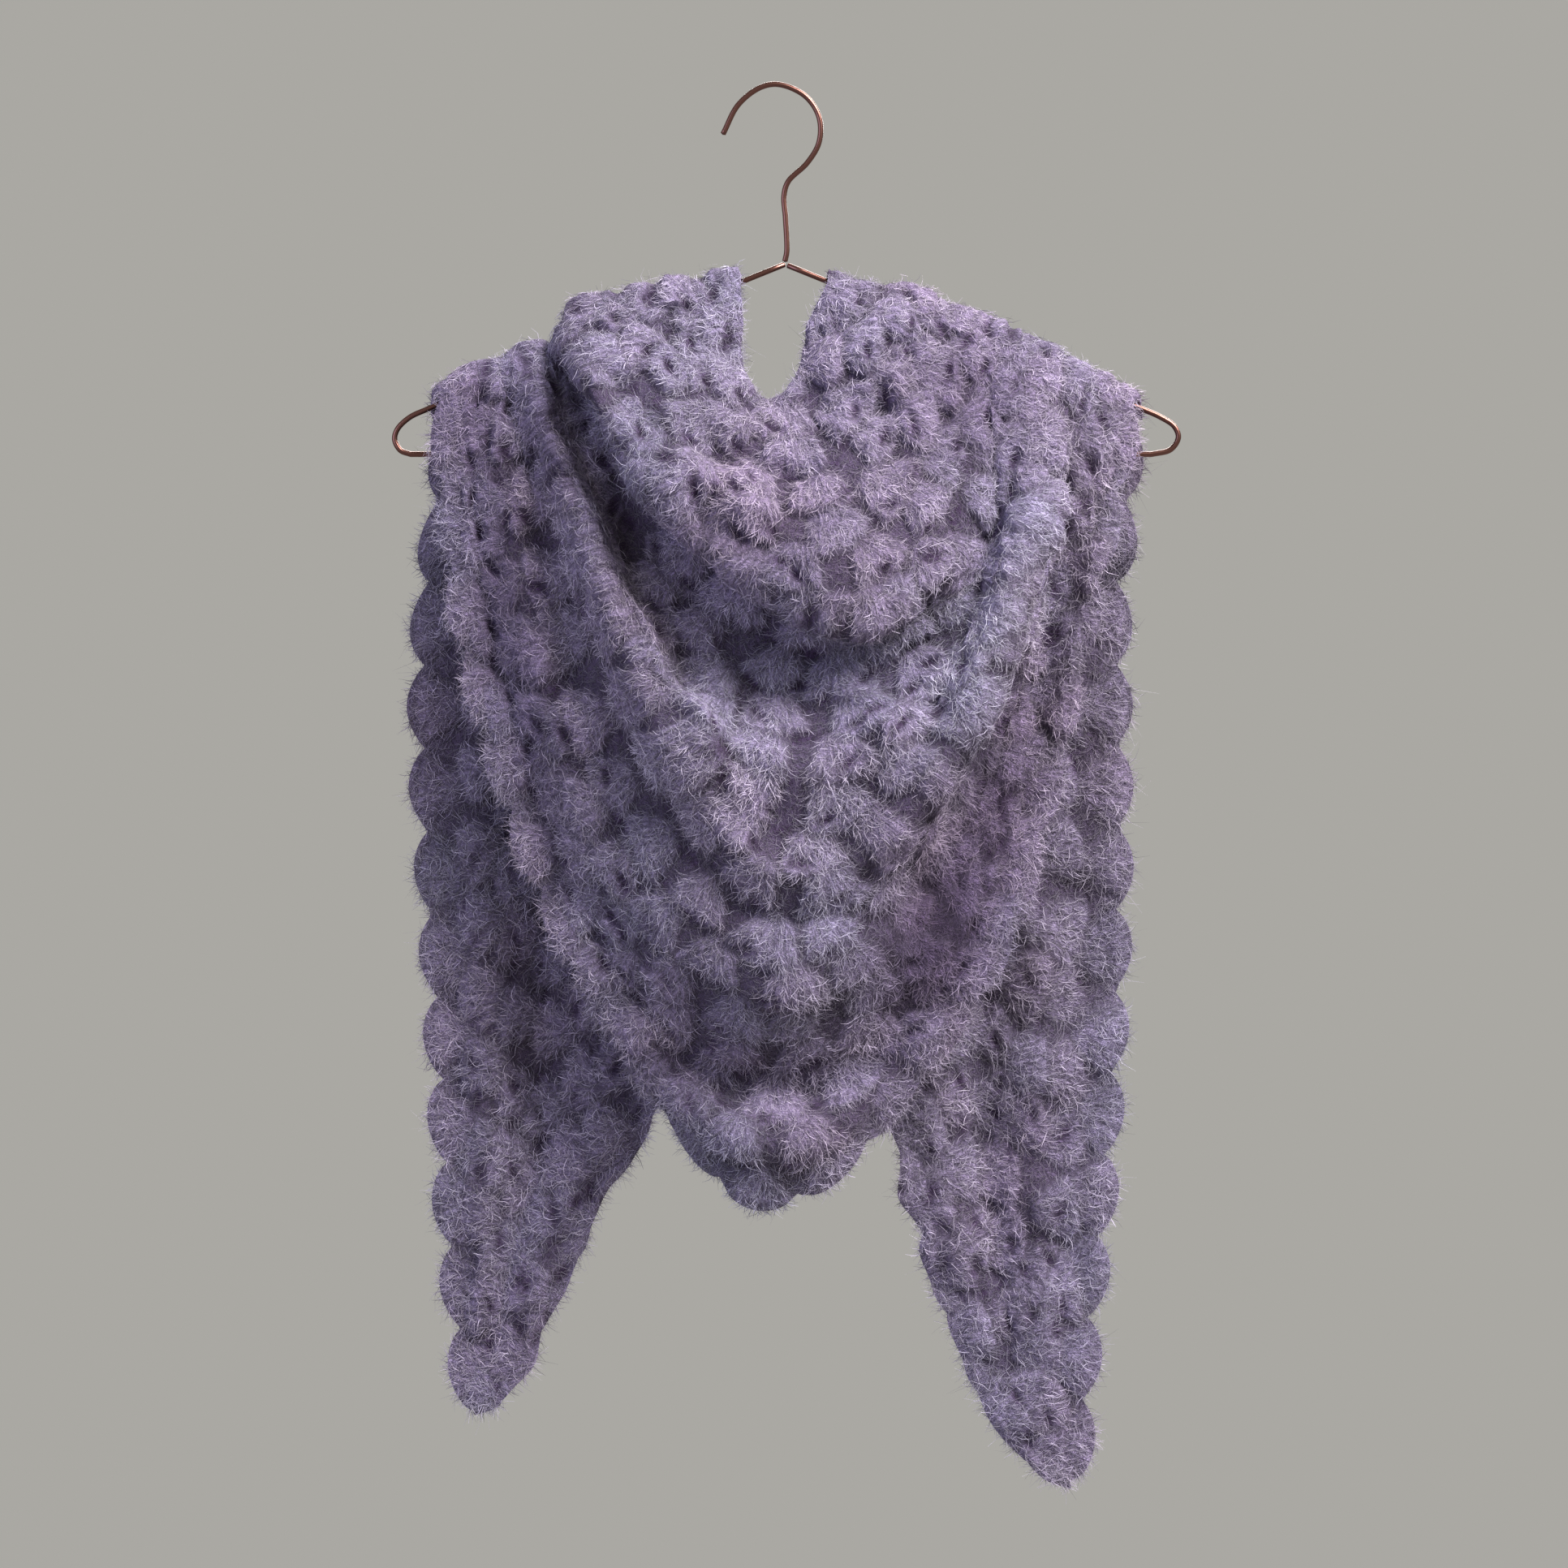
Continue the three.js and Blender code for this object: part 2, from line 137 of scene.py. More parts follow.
# Places across the front, from 0 at the back foot over the left arm to the last over the right one:
# the lowest line, the tip of the hem, and where the hem's shells start and stop.
LAST_ACROSS = 10
LOWEST = 5.0
HEM_TIP = 5.13
HEM_ENDS = (2, 8)

# The tails, from under the arm to the tip: inner edge (x, z), scalloped edge (x, z), how far back.
TAILS = {
    "left": [
        ((-23, -136), (-178, -198), 10), ((-32, -232), (-187, -276), 13), ((-44, -345), (-189, -348), 17),
        ((-57, -454), (-184, -448), 18), ((-71, -559), (-179, -539), 17), ((-98, -605), (-175, -604), 15),
        ((-121, -656), (-171, -652), 14), ((-138, -690), (-167, -688), 12), ((-153, -711), (-163, -714), 11),
    ],
    "right": [
        ((31, -136), (187, -198), 10), ((38, -232), (181, -276), 13), ((45, -345), (181, -348), 17),
        ((54, -454), (181, -448), 18), ((64, -559), (177, -544), 17), ((76, -611), (172, -607), 15),
        ((93, -661), (166, -659), 14), ((113, -709), (162, -707), 12), ((141, -748), (158, -754), 11),
    ],
}

# Upright folds in the tails: where across (0 inner, 1 outer), how wide, how far out at arm and tip.
# They rise and fade out between these shares of the way down.
TAIL_FOLDS = {
    "left": [(0.22, 0.12, -7, -2), (0.52, 0.1, 6, 3), (0.8, 0.09, -5, -3)],
    "right": [(0.18, 0.1, -6, -2), (0.42, 0.09, 5, 3), (0.68, 0.12, -6, -3)],
}
FOLDS_START = (0, 0.15)
FOLDS_STOP = (0.7, 0.92)

# The gap between a tail and the cloth over its arm, as in the solids.
JOINT_GAP = 0.3

# The wire's bends (x, z): the hook from its tip to the neck, and the loops at the ends of the arms.
HOOK = [
    (-29.2, -25), (-21, -9.3), (-9, 0), (1, 1.5), (15, -4.8), (22.3, -16), (22.3, -29.5), (16, -40.5),
    (5.8, -50.5), (3.5, -58), (4.3, -70), (5, -88), (NECK_X, NECK_Z + 1.7),
]
LOOP_LEFT = [(-197.5, -177.2), (-204, -183.5), (-205.5, -189), (-202.5, -194.8)]
LOOP_RIGHT = [(205.5, -177), (213, -182), (215.2, -188), (211, -194.5)]


# Lines and surfaces

def spline(points, t, even=False):
    """A Catmull-Rom curve through points, whose first axis counts them, read at the places t."""
    points = np.asarray(points, float)
    t = np.atleast_1d(np.asarray(t, float))
    padded = np.concatenate([[2 * points[0] - points[1]], points, [2 * points[-1] - points[-2]]])
    i = np.clip(np.floor(t).astype(int), 0, len(points) - 2)
    p0, p1, p2, p3 = (padded[i + k] for k in range(4))
    f = (t - i).reshape((-1,) + (1,) * (points.ndim - 1))
    if even:
        d0 = d1 = d2 = 1.0
    else:
        d0, d1, d2 = (
            np.maximum(np.sqrt(np.linalg.norm(b - a, axis=-1, keepdims=True)), 1e-4)
            for a, b in ((p0, p1), (p1, p2), (p2, p3))
        )
    m1 = ((p1 - p0) / d0 - (p2 - p0) / (d0 + d1) + (p2 - p1) / d1) * d1
    m2 = ((p2 - p1) / d1 - (p3 - p1) / (d1 + d2) + (p3 - p2) / d2) * d1
    return p1 + m1 * f + (3 * (p2 - p1) - 2 * m1 - m2) * f**2 + (2 * (p1 - p2) + m1 + m2) * f**3


def over_arm(side, row, turn):
    """Places on the cloth over an arm, from turn 0 in front, over the top, to pi at the back foot."""
    end = 0 if side == "left" else -1
    x, lift = spline([swag[end] for swag in SWAGS.values()], row, even=True).T
    lift = np.maximum(lift, MIN_LIFT)
    bulge = ARCH_BULGE * (lift - MIN_LIFT) if turn < np.pi / 2 else 0
    y = -(ARCH_DEPTH + bulge) * np.cos(turn)
    z = NECK_Z - ARM_SLOPE * np.abs(x - NECK_X) + (lift + ARCH_DROP) * np.sin(turn) - ARCH_DROP
    return np.stack([x, y + 0 * x, z], axis=-1)


def front_surface(across, row):
    """The middle of the front's cloth on a grid of rows by places across."""
    turns = (np.pi, np.pi / 2, ARCH_SHOULDER)
    left = [over_arm("left", row, turn) for turn in turns]
    right = [over_arm("right", row, turn) for turn in turns[::-1]]
    columns = [spline([swag[k] for swag in SWAGS.values()], row) for k in range(1, 6)]
    return np.swapaxes(spline(np.array(left + columns + right), across), 0, 1)


def smoothstep(x, low, high):
    f = np.clip((x - low) / (high - low), 0, 1)
    return f * f * (3 - 2 * f)


def tail_surface(side, across, down):
    """The middle of a tail's cloth on a grid of places down (1 at the tip) by across (0 inner)."""
    stations = [over_arm(side, across * LAST_SWAG, np.pi)]
    for inner, outer, back in TAILS[side]:
        x = inner[0] + (outer[0] - inner[0]) * across
        z = inner[1] + (outer[1] - inner[1]) * across
        stations.append(np.stack([x, back + 0 * x, z], axis=-1))
    points = spline(np.array(stations), down * (len(stations) - 1), even=True)
    fade = smoothstep(down, *FOLDS_START) * (1 - smoothstep(down, *FOLDS_STOP))
    for place, width, top, tip in TAIL_FOLDS[side]:
        height = fade * (top + (tip - top) * down)
        points[..., 1] += height[:, None] * np.exp(-(((across - place) / width) ** 2))[None]
    return points


def arc_lengths(points, axis):
    """Lengths along the lines of a grid, from 0 at the first point."""
    steps = np.linalg.norm(np.diff(points, axis=axis), axis=-1)
    zero = np.zeros_like(np.take(steps, [0], axis=axis))
    return np.concatenate([zero, np.cumsum(steps, axis=axis)], axis=axis)


def unit(vectors):
    return vectors / np.maximum(np.linalg.norm(vectors, axis=-1, keepdims=True), 1e-9)


# The weave: rows of fans along each surface, counted from the scalloped border

EDGING_ROWS = 4
FAN_ROW = 24
FAN_PITCH = 39
FAN_RISE = 5.0

# Where fans may stand: the first row, how far a place varies, and the distances across, outward and
# through the cloth that two fans keep, of which the last number is the share that still passes.
FIRST_ROW = 0.3
FAN_JITTER = 5
CLOSE_ACROSS = FAN_PITCH * 0.5
CLOSE_OUT = FAN_ROW * 0.8
CLOSE_LAYER = 20
FAN_CLOSEST = 0.9

# How fans differ, how far the foot lies behind the place, how far one fan acts along and through the
# cloth, and what v is on bare cloth.
FAN_POWER = (0.6, 1.25)
FAN_LEAN = 0.16
FAN_SIZE = (0.9, 1.12)
FOOT_BACK = FAN_ROW * 0.55
FAN_REACH = 45
FAN_LAYER = 22
BARE_V = 8.0

# The outline of a fan: its length and half width, the shares of that width at the foot, gained on the
# way out and at most, and how its tip is bowed and how steeply it falls.
FAN_LENGTH = FAN_ROW * 1.25
FAN_HALF = FAN_PITCH * 0.53
FOOT_SHARE = 0.42
FLARE = 0.75
WIDEST = 1.05
TIP_BOW = 0.22
TIP_FALL = 9

# The pits beside the foot of a fan: how far aside and up, half sizes, tilt, share left out, power,
# and how deep the bare gaps between fans are next to them.
PIT_ASIDE = 12
PIT_UP = 0.5
PIT_WIDE = 6.0
PIT_TALL = 2.6
PIT_TILT = 0.25
PIT_SKIPPED = 0.35
PIT_POWER = (0.7, 1.25)
GAP_DEPTH = 0.48

# The roll along the plain long edge: how far inside it, half width, height.
EDGE_ROLL_AT = 5
EDGE_ROLL_WIDE = 6
EDGE_ROLL_HIGH = 0.6

# The ribs of a fan: the turn from one to the next, seen from a point this far behind its foot, and
# the streaks' scales along the turn, outward and from fan to fan.
RIB_TURN = 0.3
TURN_FROM = 5
COMB_TURN, COMB_OUT, COMB_FAN = 11, 0.14, 5.7


def waves(points, seed, wavelength, count=20):
    """A smooth uneven field over points, about -1 to 1, the same for the same seed."""
    draw = np.random.default_rng(seed)
    total = np.zeros(points.shape[:-1])
    for _ in range(count):
        direction = unit(draw.normal(size=3))
        length = wavelength * draw.uniform(0.6, 1.8)
        total += np.sin(points @ direction * (2 * np.pi / length) + draw.uniform(0, 2 * np.pi))
    return total / np.sqrt(count / 2)


def fan_height(u, v):
    """How high a fan stands at u across it and v out from its base, as a share of its height."""
    w = v / FAN_LENGTH
    half = FAN_HALF * np.clip(FOOT_SHARE + FLARE * w, FOOT_SHARE, WIDEST)
    ball = np.clip(1 - (u / half) ** 2, 0, 1)
    w = np.clip(w, 0, 1)
    rise = w**0.6 * (1 - w**6) * 1.15
    bow = np.clip((1.0 - TIP_BOW * (u / half) ** 2 - w) * TIP_FALL, 0, 1)
    return rise * ball**0.45 * bow


class Patch:
    """One surface of cloth on an even grid. Its first rows are the edging outside the scalloped
    border, and the last one is the long edge. Columns run along the border. outward_y is the side
    that its normals look to, bold tells how high its fans are, and busy is the column that the rows
    of fans are measured on."""

    def __init__(self, points, lobes, outward_y, bold, busy):
        self.bold = bold
        self.busy = busy
        edge, inside = points[0], points[3]
        off = unit(edge - inside)
        reach = 1.0 + lobes
        rows = [edge + off * (reach * k / EDGING_ROWS)[:, None] for k in range(EDGING_ROWS, 0, -1)]
        self.points = np.concatenate([rows, points])
        self.rows, self.columns = self.points.shape[:2]
        depth = arc_lengths(self.points, 0)
        self.depth = depth - depth[EDGING_ROWS]
        along = np.gradient(self.points, axis=1)
        down = np.gradient(self.points, axis=0)
        normal = unit(np.cross(along, down))
        if (normal[self.rows // 2, self.columns // 2] @ np.array([0, outward_y, 0])) < 0:
            normal = -normal
        self.normal = normal
        self.along = unit(along)
        self.outward = unit(-(down - np.sum(down * self.along, -1, keepdims=True) * self.along))
        self.weave(lobes)

    def weave(self, lobes):
        """Lays fans in rows over the cloth, thinned out where it is gathered, and finds which fan each
        grid point is on, where across it (u) and how far out from its base (v), and how high."""
        levels = np.arange(FIRST_ROW, self.depth[-1].max() / FAN_ROW + 1) * FAN_ROW
        bases = []
        for k, level in enumerate(levels):
            r = int(np.argmin(np.abs(self.depth[:, self.busy] - level)))
            if k and r >= self.rows - 2:
                break
            line = self.points[r]
            lengths = arc_lengths(line, 0)
            shift = 0.5 * (k % 2) + rng.uniform(0, 0.5)
            spots = np.arange(shift, lengths[-1] / FAN_PITCH, 1.0) * FAN_PITCH
            spots = spots + rng.uniform(-FAN_JITTER, FAN_JITTER, len(spots))
            places = np.interp(spots, lengths, np.arange(self.columns)).round().astype(int)
            if k == 0:
                inner = lobes[1:-1]
                places = np.flatnonzero((inner >= lobes[:-2]) & (inner > lobes[2:])) + 1
            for c in places:
                bases.append((r, min(max(c, 0), self.columns - 1)))
        kept = []
        for r, c in bases:
            p = self.points[r, c]
            if kept:
                gap = np.array([self.points[q] for q in kept]) - p
                du = gap @ self.along[r, c] / CLOSE_ACROSS
                dv = gap @ self.outward[r, c] / CLOSE_OUT
                dn = gap @ self.normal[r, c] / CLOSE_LAYER
                if np.min(np.maximum(np.abs(du) + np.abs(dv), np.abs(dn))) < FAN_CLOSEST:
                    continue
            kept.append((r, c))
        rows = np.array([q[0] for q in kept])
        columns = np.array([q[1] for q in kept])
        self.fan_base = self.points[rows, columns]
        count = len(kept)
        fan_power = rng.uniform(*FAN_POWER, count)
        self.fan_tint = rng.uniform(-1, 1, count)
        lean = rng.normal(0, FAN_LEAN, count)
        along, outward = self.along[rows, columns], self.outward[rows, columns]
        cos, sin = np.cos(lean)[:, None], np.sin(lean)[:, None]
        axis_u = along * cos + outward * sin
        axis_v = outward * cos - along * sin
        axis_n = self.normal[rows, columns]
        size = rng.uniform(*FAN_SIZE, count)
        self.fan_axes = (axis_u, axis_v, size)
        shape = self.points.shape[:2]
        flat = self.points.reshape(-1, 3)
        self.u, self.v = np.zeros(len(flat)), np.full(len(flat), BARE_V)
        self.height = np.zeros(len(flat))
        self.hole = np.zeros(len(flat))
        self.fan = np.zeros(len(flat), int)
        for i in range(count):
            gap = flat - self.fan_base[i]
            close = np.flatnonzero(np.einsum("ij,ij->i", gap, gap) < FAN_REACH**2)
            gap = gap[close]
            same_layer = np.abs(gap @ axis_n[i]) < FAN_LAYER
            u = gap @ axis_u[i] / size[i]
            v = gap @ axis_v[i] / size[i] + FOOT_BACK
            high = fan_power[i] * fan_height(u, v) * same_layer
            better = high > self.height[close]
            spots = close[better]
            self.height[spots] = high[better]
            self.u[spots] = u[better]
            self.v[spots] = v[better]
            self.fan[spots] = i
            for sign in (-1, 1):
                if rng.uniform() < PIT_SKIPPED:
                    continue
                aside = u - sign * PIT_ASIDE
                du = aside / PIT_WIDE
                dv = (v - PIT_UP + PIT_TILT * sign * aside) / PIT_TALL
                pit = rng.uniform(*PIT_POWER) * np.exp(-(du**2) - dv**2) * same_layer
                self.hole[close] = np.maximum(self.hole[close], pit)
        for key in ("u", "v", "height", "hole", "fan"):
            setattr(self, key, getattr(self, key).reshape(shape))
        rim = self.depth[-1] - self.depth
        uneven = EDGE_ROLL_HIGH + 0.25 * waves(self.points, seed=31, wavelength=22)
        roll = np.exp(-(((rim - EDGE_ROLL_AT) / EDGE_ROLL_WIDE) ** 2)) * uneven
        self.height = np.maximum(self.height, roll)
        turn = np.arctan2(self.u, self.v + TURN_FROM)
        self.comb = np.stack([turn * COMB_TURN, self.v * COMB_OUT, self.fan * COMB_FAN], -1)

    def relief(self):
        """How far the fans stand out over the cloth in mm, and how deep the gaps between them are."""
        bold = self.bold(self.points)
        uneven = 0.45 * waves(self.points, seed=21, wavelength=9, count=30)
        mound = (FAN_RISE * self.height + uneven) * bold
        gaps = (1 - smoothstep(self.height, 0.0, 0.3)) * smoothstep(self.depth, 0, 16)
        gaps = gaps * smoothstep(self.depth[-1] - self.depth, 2, 16)
        pits = np.maximum(self.hole, gaps * GAP_DEPTH) * np.minimum(bold * 1.1, 1)
        pits = np.clip(pits, 0, 1)
        return mound, pits

    def at(self, row, column, grid):
        """Reads a grid of the patch between its points."""
        row = np.clip(row, 0, self.rows - 1.001)
        column = np.clip(column, 0, self.columns - 1.001)
        r, c = row.astype(int), column.astype(int)
        fr, fc = row - r, column - c
        if grid.ndim == 3:
            fr, fc = fr[:, None], fc[:, None]
        low = grid[r, c] * (1 - fc) + grid[r, c + 1] * fc
        high = grid[r + 1, c] * (1 - fc) + grid[r + 1, c + 1] * fc
        return low * (1 - fr) + high * fr


def even_lobes(line, start, end, lobe):
    """How far the shells reach along a border, given as its line of points, between two places."""
    lengths = arc_lengths(line, 0)
    s0, s1 = np.interp([start, end], np.arange(len(line)), lengths)
    count = max(round((s1 - s0) / SHELL_PITCH), 1)
    phase = (lengths - s0) / (s1 - s0) * count
    return lobe * np.abs(np.sin(np.pi * phase)) ** 0.7


# The patches

# Grid sizes, passes of rounding, the finer grid to measure on, how far shells and bumps reach past
# the edges, how many rows the bumps take to fade, and where the tips turn round.
ROWS = 170
COLUMNS = 320
TAIL_ROWS = 56
TAIL_COLUMNS = 200
ROUNDINGS = 60
FINE_ROWS = 600
FINE_PLACES = 1200
FRONT_LOBE = 8
TAIL_LOBE = 10
TAIL_BUMP = 3.5
BUMP_ROWS = 9
ROUND_TIP_FROM = 0.97

# Creases: points (x, z) along each, its width and how far it stands out (in if negative).
CREASES = [
    ([(-120, -196), (-112, -203), (-84, -277), (-47, -345), (-13, -394)], 10, 5),
    ([(-108, -196), (-98, -222), (-72, -280), (-37, -340), (-4, -385)], 9, -5),
    ([(-133, -236), (-124, -290), (-104, -351), (-80, -420), (-62, -455)], 17, -4),
    ([(-118, -148), (-112, -170), (-100, -196)], 9, -6),
    ([(140, -205), (138, -216), (119, -296), (70, -401), (40, -440)], 12, 9),
    ([(158, -222), (152, -250), (138, -315), (95, -415), (55, -462)], 13, -13),
    ([(-60, -178), (-30, -200), (0, -208), (30, -206)], 8, -6),
    ([(-66, -196), (-30, -222), (5, -236)], 7, 5),
    ([(-46, -232), (-18, -246), (14, -252)], 6, -5),
    ([(18, -176), (40, -170), (66, -178)], 7, -4),
    ([(-90, -150), (-76, -176), (-52, -204)], 8, -5),
    ([(60, -150), (72, -186), (70, -224)], 7, 4),
    ([(-30, -400), (0, -420), (30, -424)], 7, 4),
    ([(-62, -322), (-30, -352), (10, -368), (45, -360), (84, -330)], 21, 13),
    ([(-60, -470), (-20, -500), (20, -503), (60, -478)], 9, -4),
    ([(-40, -428), (0, -446), (40, -440)], 7, -5),
    ([(-70, -505), (-36, -533), (0, -540), (40, -530), (76, -498)], 11, -7),
    ([(-60, -530), (-30, -558), (0, -566), (34, -556), (60, -532)], 9, 4),
]
CREASE_START = (0, 0.15)
CREASE_STOP = (0.8, 1)


def crease(points, creases):
    """How far the listed creases move each of the points along the cloth's normal."""
    total = np.zeros(points.shape[:-1])
    flat = points[..., [0, 2]]
    for line, width, out in creases:
        line = np.array(line, float)
        lengths = arc_lengths(line, 0)
        best = np.full(flat.shape[:-1], 1e9)
        along = np.zeros(flat.shape[:-1])
        for i in range(len(line) - 1):
            a, b = line[i], line[i + 1]
            f = np.clip((flat - a) @ (b - a) / ((b - a) @ (b - a)), 0, 1)
            gap = np.linalg.norm(flat - (a + f[..., None] * (b - a)), axis=-1)
            near = gap < best
            best = np.where(near, gap, best)
            along = np.where(near, lengths[i] + f * (lengths[i + 1] - lengths[i]), along)
        share = along / lengths[-1]
        ends = smoothstep(share, *CREASE_START) * (1 - smoothstep(share, *CREASE_STOP))
        total += out * np.exp(-((best / width) ** 2)) * ends
    return total


def front_bold(points):
    """How plain the fans show: most on the cowl and the ridge, least near the point and the sides."""
    x, z = points[..., 0], points[..., 2]
    return 0.75 + 0.35 * smoothstep(z, -480, -300) - 0.15 * smoothstep(np.abs(x - 20), 100, 160)


def tail_bold(points):
    return 0.75 + 0.1 * smoothstep(points[..., 2], -500, -200)


def front_patch():
    """The front's cloth: the swags, softened between the arms, with creases."""
    fine = np.linspace(0, LAST_SWAG, FINE_ROWS)[::-1]
    middle = front_surface([LOWEST], fine)[:, 0]
    lengths = arc_lengths(middle[:, None], 0)[:, 0]
    rows = np.interp(np.linspace(0, lengths[-1], ROWS), lengths, fine)
    places = np.linspace(0, LAST_ACROSS, FINE_PLACES)
    spread = np.zeros(FINE_PLACES)
    for row in (LAST_SWAG, LAST_SWAG * 0.5):
        line = front_surface(places, [row])[0]
        step = np.linalg.norm(np.diff(line, axis=0), axis=1)
        spread[1:] += np.cumsum(step) / step.sum()
    across = np.interp(np.linspace(0, spread[-1], COLUMNS), spread, places)
    points = front_surface(across, rows)
    from_arm = np.minimum(across, LAST_ACROSS - across)
    soft = smoothstep(from_arm, 2, 3.5)[None] * smoothstep(arc_lengths(points, 0), 15, 80)
    for _ in range(ROUNDINGS):
        middle = (points[:, :-2] + 2 * points[:, 1:-1] + points[:, 2:]) / 4
        points[:, 1:-1] += (middle - points[:, 1:-1]) * soft[:, 1:-1, None]
    edge = points[0]
    start, split, end = np.interp([HEM_ENDS[0], HEM_TIP, HEM_ENDS[1]], across, np.arange(COLUMNS))
    left = even_lobes(edge, start, split, FRONT_LOBE)
    right = even_lobes(edge, split, end, FRONT_LOBE)
    lobes = np.where(np.arange(COLUMNS) < split, left, right)
    patch = Patch(points, lobes, -1, front_bold, COLUMNS // 2)
    patch.row_of = np.concatenate([[LAST_SWAG] * EDGING_ROWS, rows])
    faces_front = patch.normal[..., 1] < 0.2
    shift = crease(patch.points, CREASES) * faces_front
    shift += waves(patch.points, seed=3, wavelength=70) * 1.6
    calm = smoothstep(from_arm, 1.0, 3.0)[None]
    patch.points = patch.points + patch.normal * (shift * calm)[..., None]
    return patch


def tail_patch(side):
    """A tail's cloth: its stations, with small bumps along the long edge and a rounded tip."""
    across = np.linspace(1, 0, TAIL_ROWS)
    down = np.linspace(0, 1, TAIL_COLUMNS)
    points = np.swapaxes(tail_surface(side, across, down), 0, 1)
    points[:, 0, 2] -= JOINT_GAP
    long_edge = points[-1]
    bumps = even_lobes(long_edge, TAIL_COLUMNS * 0.05, TAIL_COLUMNS * 0.97, TAIL_BUMP)
    bumps = bumps * (0.8 + 0.4 * waves(long_edge, seed=4, wavelength=90))
    bumps = bumps + 1.3 * waves(long_edge, seed=6, wavelength=26)
    bumps = bumps * smoothstep(down, 0.05, 0.15)
    off = unit(long_edge - points[-6])
    ease = smoothstep(np.arange(TAIL_ROWS), TAIL_ROWS - BUMP_ROWS, TAIL_ROWS - 1)
    points = points + off[None] * (ease[:, None] * bumps[None])[..., None]
    middle = (points[0] + points[-1]) / 2
    past = np.clip((down - ROUND_TIP_FROM) / 0.03, 0, 1)
    round_tip = np.sqrt(1 - 0.85 * past**2)
    points = middle + (points - middle) * round_tip[None, :, None]
    lobes = even_lobes(points[0], TAIL_COLUMNS * 0.01, TAIL_COLUMNS * 0.985, TAIL_LOBE)
    patch = Patch(points, lobes, 1, tail_bold, TAIL_COLUMNS // 3)
    calm = smoothstep(down, 0.02, 0.12)[None]
    seed = 5 if side == "left" else 8
    shift = waves(patch.points, seed, wavelength=60) * 1.4 * calm
    patch.points = patch.points + patch.normal * shift[..., None]
    return patch


# Meshes and materials

# The yarn's colours of fibres and cloth, the painted shade in its pits, and the shares of red, green
# and blue at both leans.
PALE = np.array([0.295, 0.273, 0.34])
MID = np.array([0.182, 0.155, 0.238])
PAINTED_PIT_SHADE = np.array([0.028, 0.014, 0.042])
PINK = np.array([1.07, 0.97, 1.0])
BLUE = np.array([0.965, 0.99, 1.02])


def new_mesh(name, points, faces, colours, material, flat=0, comb=None):
    """A piece with a colour at each point. Its last flat faces aren't shaded smooth, and comb holds
    where each point lies within the strands of its fan."""
    mesh = bpy.data.meshes.new(name)
    faces = np.asarray(faces, np.int32)
    mesh.vertices.add(len(points))
    mesh.vertices.foreach_set("co", (np.asarray(points, np.float32) * MM).ravel())
    mesh.loops.add(faces.size)
    mesh.loops.foreach_set("vertex_index", faces.ravel())
    mesh.polygons.add(len(faces))
    mesh.polygons.foreach_set("loop_start", np.arange(0, faces.size, faces.shape[1], dtype=np.int32))
    shaded = np.full(len(faces), True)
    shaded[len(faces) - flat:] = False
    mesh.polygons.foreach_set("use_smooth", shaded)
    mesh.update(calc_edges=True)
    layer = mesh.color_attributes.new("shade", "FLOAT_COLOR", "POINT")
    full = np.concatenate([colours, np.ones((len(colours), 1))], axis=1)
    layer.data.foreach_set("color", full.astype(np.float32).ravel())
    if comb is not None:
        layer = mesh.attributes.new("comb", "FLOAT_VECTOR", "POINT")
        layer.data.foreach_set("vector", comb.astype(np.float32).ravel())
    mesh.materials.append(material)
    mesh.validate()
    piece = bpy.data.objects.new(name, mesh)
    bpy.context.scene.collection.objects.link(piece)
    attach(piece, "root")
    return piece


def node(tree, kind, **values):
    """A new node with values for its sockets, whose names have spaces in place of underscores."""
    made = tree.nodes.new(kind)
    for name, value in values.items():
        made.inputs[name.replace("_", " ")].default_value = value
    return made


def product(tree, kind, first, second):
    """A node that multiplies two outputs."""
    made = tree.nodes.new(kind)
    made.operation = "MULTIPLY"
    tree.links.new(first, made.inputs[0])
    tree.links.new(second, made.inputs[1])
    return made


def yarn_material(name, roughness):
    """A material in the colours of its points, with the node that reads them and the shader."""
    material = bpy.data.materials.new(name)
    material.use_nodes = True
    tree = material.node_tree
    shader = tree.nodes["Principled BSDF"]
    shader.inputs["Roughness"].default_value = roughness
    shader.inputs["Specular IOR Level"].default_value = 0.2
    shader.inputs["Sheen Weight"].default_value = 0.16
    shader.inputs["Sheen Roughness"].default_value = 0.6
    shader.inputs["Sheen Tint"].default_value = (0.75, 0.6, 0.95, 1)
    shade = tree.nodes.new("ShaderNodeVertexColor")
    shade.layer_name = "shade"
    tree.links.new(shade.outputs["Color"], shader.inputs["Base Color"])
    return material, shade, shader


